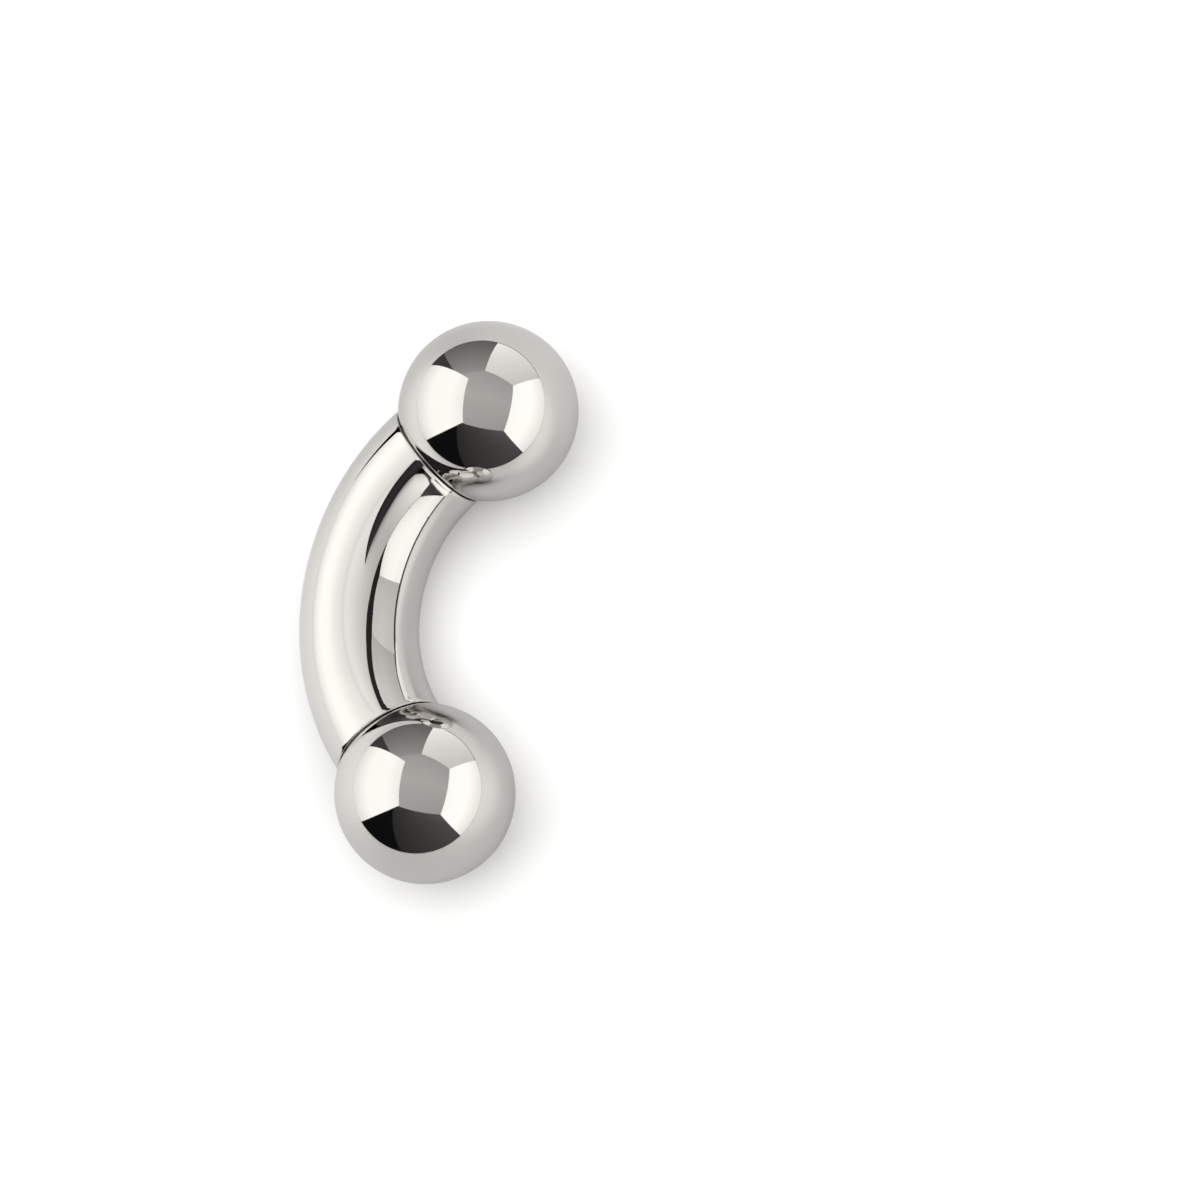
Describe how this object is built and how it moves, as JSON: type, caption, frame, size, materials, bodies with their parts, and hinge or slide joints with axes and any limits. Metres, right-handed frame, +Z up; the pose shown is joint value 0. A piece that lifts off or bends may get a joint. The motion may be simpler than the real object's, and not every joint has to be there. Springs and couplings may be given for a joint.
{
  "type": "curved body jewellery barbell",
  "caption": "Short heavy-gauge curved barbell in mirror-polished steel: a bent round bar tapped at each end, with a screw-in ball seated on each rim.",
  "frame": {"origin": "on the table, midway along the barbell and midway across it, under the middle of its box", "axes": "+X through the ball centres towards the upper ball, +Y towards the outside of the bend, +Z up from the table"},
  "size_m": [0.019, 0.0086, 0.006],
  "materials": {
    "polished_steel": "polished",
    "thread_steel": "satin"
  },
  "bodies": {
    "bar": {"curved_bar": "polished_steel"},
    "upper_ball": {"upper_ball": "polished_steel"},
    "lower_ball": {"lower_ball": "polished_steel"}
  },
  "joints": [
    {"name": "upper_ball_unscrew", "type": "slide", "parent": "bar", "child": "upper_ball", "axis": [0.7071, -0.6804, 0.1926], "range_m": [0, 0.0024]},
    {"name": "lower_ball_unscrew", "type": "slide", "parent": "bar", "child": "lower_ball", "axis": [-0.7071, -0.6804, 0.1926], "range_m": [0, 0.0024]}
  ]
}
